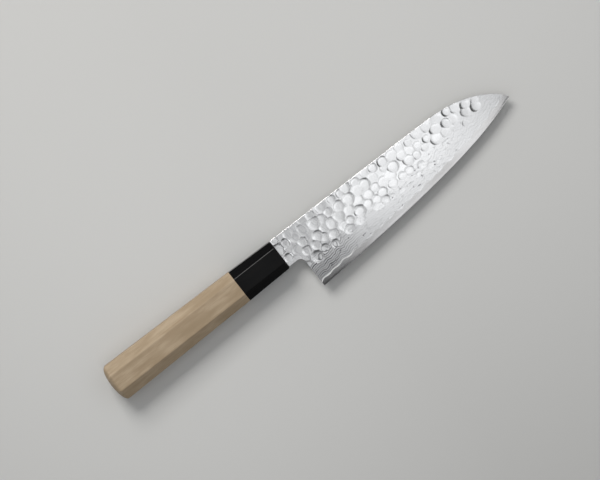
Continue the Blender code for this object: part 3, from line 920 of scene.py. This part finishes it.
def table_finish(stage):
    """A plain, matt surface that is slightly uneven in its colour."""
    finish, tree, shader, position = new_finish("Table")
    cloud = noise(tree, position, **TABLE_CLOUD)
    colour = mix(tree, cloud, solid(stage.table_colour), shaded(stage.table_colour, TABLE_SHADE))
    plug_in(tree, shader, Base_Color=colour, Roughness=TABLE_ROUGHNESS)
    return finish


def make_table(stage):
    """A pale table under the knife."""
    mesh = bmesh.new()
    bmesh.ops.create_grid(mesh, x_segments=1, y_segments=1, size=stage.table_size / 2)
    table = mesh_object("table", mesh, table_finish(stage))


def add_panel(name, turned, size, radiance, colour):
    """A soft rectangular lamp that shines down its own Z. At a radiance of 1 it is seen as white."""
    data = bpy.data.lights.new(name, "AREA")
    data.shape, data.size, data.size_y = "RECTANGLE", *size
    data.energy = radiance * math.pi * data.size * data.size_y
    data.color = colour
    lamp = new_object(name, data)
    lamp.matrix_world = turned
    lamp.visible_camera = False


def grid_panels():
    """The panels over the blade, described as those at the ends are."""
    level = PANEL_HEIGHT, PANEL_HEIGHT
    panels = {}
    for row, ys, strengths in zip(ascii_lowercase, pairwise(PANEL_Y), PANEL_STRENGTHS):
        for column, (xs, strength) in enumerate(zip(pairwise(PANEL_X), strengths), start=1):
            if strength > 0:
                panels[f"panel_{row}{column}"] = xs, ys, level, strength
    return panels


def hang_panels(stage):
    """The key lamp, which stands off to the spine's side, and the panels that the blade mirrors."""
    leaning = Matrix.Rotation(-stage.key_tilt, 4, "X") @ Matrix.Translation((0, 0, KEY_DISTANCE))
    add_panel("key_lamp", leaning, (KEY_SIZE, KEY_SIZE), stage.key_light, stage.key_colour)
    for name, (*ranges, strength) in (END_PANELS | grid_panels()).items():
        run, width, rise = (high - low for low, high in ranges)
        middle = [(low + high) / 2 for low, high in ranges]
        turned = Matrix.Translation(middle) @ Matrix.Rotation(-math.atan2(rise, run), 4, "Y")
        size = math.hypot(run, rise), width
        add_panel(name, turned, size, stage.panel_light * strength, stage.room_colour)


def light_room(stage):
    """Soft light from the walls of a room with a dark ceiling."""
    world = bpy.data.worlds.get("Studio") or bpy.data.worlds.new("Studio")
    bpy.context.scene.world = world
    world.use_nodes = True
    tree = world.node_tree
    tree.nodes.clear()
    up = one_axis(tree, add_node(tree, "ShaderNodeTexCoord").outputs["Generated"], "Z")
    over = ramp(tree, up, *CEILING_RAMP, stage.room_light, stage.ceiling_light)
    strength = product(tree, over, ramp(tree, up, *WALL_RAMP))
    colour = solid(stage.room_colour)
    background = add_node(tree, "ShaderNodeBackground", Color=colour, Strength=strength)
    add_node(tree, "ShaderNodeOutputWorld", Surface=background.outputs["Background"])


def set_camera(stage):
    """A camera with a long lens that looks almost straight down, with the knife aslant in its view."""
    data = bpy.data.cameras.new("camera")
    data.sensor_width = SENSOR_WIDTH
    data.lens = SENSOR_WIDTH * stage.camera_distance / stage.view_width
    camera = new_object("camera", data)
    turned = Matrix.Rotation(-stage.camera_tilt, 4, "X") @ Matrix.Rotation(-stage.camera_turn, 4, "Z")
    back = Matrix.Translation((0, 0, stage.camera_distance))
    camera.matrix_world = Matrix.Translation(stage.view_centre) @ turned @ back
    bpy.context.scene.camera = camera
    bpy.context.scene.view_settings.view_transform = "Standard"


def length_setting(name, description, default):
    """A size in metres."""
    return bpy.props.FloatProperty(
        name=name,
        description=description,
        default=default,
        min=0.0,
        precision=5,
        subtype="DISTANCE",
        unit="LENGTH",
    )


def angle_setting(name, description, degrees):
    """An angle, with its default in degrees."""
    return bpy.props.FloatProperty(
        name=name,
        description=description,
        default=math.radians(degrees),
        subtype="ANGLE",
        unit="ROTATION",
    )


def colour_setting(name, description, default):
    """A colour in linear red, green and blue."""
    return bpy.props.FloatVectorProperty(
        name=name, description=description, default=default, min=0.0, max=1.0, size=3, subtype="COLOR"
    )


def share_setting(name, description, default):
    """A share from none to all."""
    return bpy.props.FloatProperty(
        name=name, description=description, default=default, min=0.0, max=1.0, subtype="FACTOR"
    )


def light_setting(name, description, default):
    """A brightness, where 1 is seen as white."""
    return bpy.props.FloatProperty(name=name, description=description, default=default, min=0.0)


class SteelSettings(bpy.types.PropertyGroup):
    """Sizes and finishes of the blade."""

    mark_radius: length_setting("Mark radius", "Radius of a hammer mark", 0.0037)
    mark_depth: length_setting("Mark depth", "Depth of a hammer mark", 0.00018)
    layer_pitch: length_setting(
        "Layer pitch", "Thickness of a bright and a dark layer together", 0.000055
    )
    clad_colour: colour_setting("Cladding", "Colour of the bright layers", (0.80, 0.80, 0.805))
    layer_colour: colour_setting("Layers", "Colour of the dark layers", (0.06, 0.06, 0.065))
    nickel_colour: colour_setting(
        "Weld line", "Colour of the bright line above the bare core", (0.93, 0.93, 0.92)
    )
    core_colour: colour_setting("Core", "Colour of the bare core", (0.735, 0.73, 0.73))
    core_shade: colour_setting("Core shade", "Darker patches of the bare core", (0.67, 0.66, 0.655))
    far_contrast: share_setting(
        "Layers at the tip", "How much of the layers still shows towards the tip", 0.07
    )
    hammered_contrast: share_setting(
        "Layers in the marks", "How much of the layers shows in the marks", 0.12
    )
    hammered_roughness: share_setting("Hammered roughness", "Roughness of the hammered steel", 0.17)
    ground_roughness: share_setting("Ground roughness", "Roughness of the ground steel", 0.20)
    core_roughness: share_setting("Core roughness", "Roughness of the bare core", 0.14)


class HandleSettings(bpy.types.PropertyGroup):
    """Sizes and finishes of the handle."""

    ferrule_arris: length_setting("Ferrule arris", "Round on the ferrule's long edges", 0.0012)
    wood_arris: length_setting("Wood arris", "Round on the wood's long edges", 0.0012)
    horn_colour: colour_setting("Horn", "Colour of the horn", (0.0016, 0.0016, 0.0018))
    horn_shade: colour_setting("Horn cloud", "Paler run in the horn", (0.0035, 0.003, 0.0028))
    wood_colour: colour_setting("Wood", "Colour of the magnolia", (0.423, 0.328, 0.225))
    wood_blush: colour_setting("Wood cloud", "Darker patches of the magnolia", (0.337, 0.252, 0.162))
    grain_colour: colour_setting("Grain", "Colour of the grain and the pores", (0.27, 0.20, 0.12))
    resin_colour: colour_setting("Resin", "Colour of the bedding resin", (0.42, 0.33, 0.18))


class StageSettings(bpy.types.PropertyGroup):
    """The table, the light and the camera."""

    table_size: length_setting("Table", "Side of the table", 12.0)
    table_colour: colour_setting("Table colour", "Colour of the table", (0.62, 0.62, 0.61))
    room_colour: colour_setting("Room colour", "Colour of the light from the room", (0.98, 0.99, 1.0))
    room_light: light_setting("Room", "Brightness of the room's walls", 0.40)
    ceiling_light: light_setting("Ceiling", "Brightness of the ceiling", 0.06)
    panel_light: light_setting("Panels", "Brightness of the panels over the knife", 0.95)
    key_light: light_setting("Key lamp", "Brightness of the key lamp", 12.0)
    key_colour: colour_setting("Key colour", "Colour of the key lamp", (1.0, 0.985, 0.96))
    key_tilt: angle_setting("Key tilt", "How far the key lamp stands off the vertical", 48)
    camera_distance: length_setting("Camera distance", "From the camera to the knife", 1.5)
    view_width: length_setting("View width", "Width of what the camera sees", 0.396)
    view_centre: bpy.props.FloatVectorProperty(
        name="View centre",
        description="What the camera looks at",
        default=(-0.0052, 0.0099, 0.009),
        size=3,
        precision=4,
        subtype="TRANSLATION",
        unit="LENGTH",
    )
    camera_tilt: angle_setting("Camera tilt", "How far the camera leans to the spine's side", 4)
    camera_turn: angle_setting("Camera turn", "Angle of the knife in the picture", 38)


class SANTOKU_OT_stage(bpy.types.Operator):
    """Set up the table, the light and the camera"""

    bl_idname = "santoku.stage"
    bl_label = "Stage"

    def execute(self, context):
        stage = context.scene.knife_stage
        make_table(stage)
        hang_panels(stage)
        light_room(stage)
        set_camera(stage)
        return {"FINISHED"}


class SANTOKU_OT_core(bpy.types.Operator):
    """Build the hard core with the cutting edge"""

    bl_idname = "santoku.core"
    bl_label = "Core steel"

    def execute(self, context):
        make_core(context.scene.knife_steel)
        return {"FINISHED"}


class SANTOKU_OT_claddings(bpy.types.Operator):
    """Build the hammered, ground cladding on both sides of the core"""

    bl_idname = "santoku.claddings"
    bl_label = "Claddings"

    def execute(self, context):
        make_cladding(1, "right_cladding", "cladding_right", context.scene.knife_steel)
        make_cladding(-1, "left_cladding", "cladding_left", context.scene.knife_steel)
        return {"FINISHED"}


class SANTOKU_OT_ferrule(bpy.types.Operator):
    """Build the horn ferrule"""

    bl_idname = "santoku.ferrule"
    bl_label = "Ferrule"

    def execute(self, context):
        make_ferrule(context.scene.knife_handle)
        return {"FINISHED"}


class SANTOKU_OT_handle(bpy.types.Operator):
    """Build the eight-sided magnolia handle"""

    bl_idname = "santoku.handle"
    bl_label = "Handle"

    def execute(self, context):
        make_handle(context.scene.knife_handle)
        return {"FINISHED"}


class SANTOKU_OT_bedding(bpy.types.Operator):
    """Give the resin round the tang its finish"""

    bl_idname = "santoku.bedding"
    bl_label = "Tang bedding"

    def execute(self, context):
        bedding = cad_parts["tang_bedding"]
        bedding.data.materials.clear()
        bedding.data.materials.append(resin_finish(context.scene.knife_handle))
        return {"FINISHED"}


class SANTOKU_PT_pieces(bpy.types.Panel):
    """The knife's pieces, and the sizes and colours that they are built with"""

    bl_idname = "SANTOKU_PT_pieces"
    bl_label = "Santoku Knife"
    bl_space_type = "VIEW_3D"
    bl_region_type = "UI"
    bl_category = "Knife"

    def draw(self, context):
        for settings, operators in PARTS.items():
            box = self.layout.box()
            group = getattr(context.scene, settings)
            for name in group.bl_rna.properties.keys():
                if name not in {"rna_type", "name"}:
                    box.prop(group, name)
            for operator in operators:
                box.operator(operator.bl_idname)


SETTINGS = {"knife_stage": StageSettings, "knife_steel": SteelSettings, "knife_handle": HandleSettings}
PARTS = {
    "knife_stage": (SANTOKU_OT_stage,),
    "knife_steel": (SANTOKU_OT_core, SANTOKU_OT_claddings),
    "knife_handle": (SANTOKU_OT_ferrule, SANTOKU_OT_handle, SANTOKU_OT_bedding),
}
OPERATORS = [operator for operators in PARTS.values() for operator in operators]


def register():
    """Makes the settings, the operators and the panel known, and gives the scene its settings."""
    for kind in (*SETTINGS.values(), *OPERATORS, SANTOKU_PT_pieces):
        bpy.utils.register_class(kind)
    for name, group in SETTINGS.items():
        setattr(bpy.types.Scene, name, bpy.props.PointerProperty(type=group))


def unregister():
    """Takes back all that register has done."""
    for name in SETTINGS:
        delattr(bpy.types.Scene, name)
    for kind in (SANTOKU_PT_pieces, *reversed(OPERATORS), *SETTINGS.values()):
        bpy.utils.unregister_class(kind)


def main():
    """Sets the stage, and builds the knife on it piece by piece."""
    register()
    bpy.ops.santoku.stage()
    bpy.ops.santoku.core()
    bpy.ops.santoku.claddings()
    bpy.ops.santoku.ferrule()
    bpy.ops.santoku.handle()
    bpy.ops.santoku.bedding()


if __name__ == "__main__":
    main()
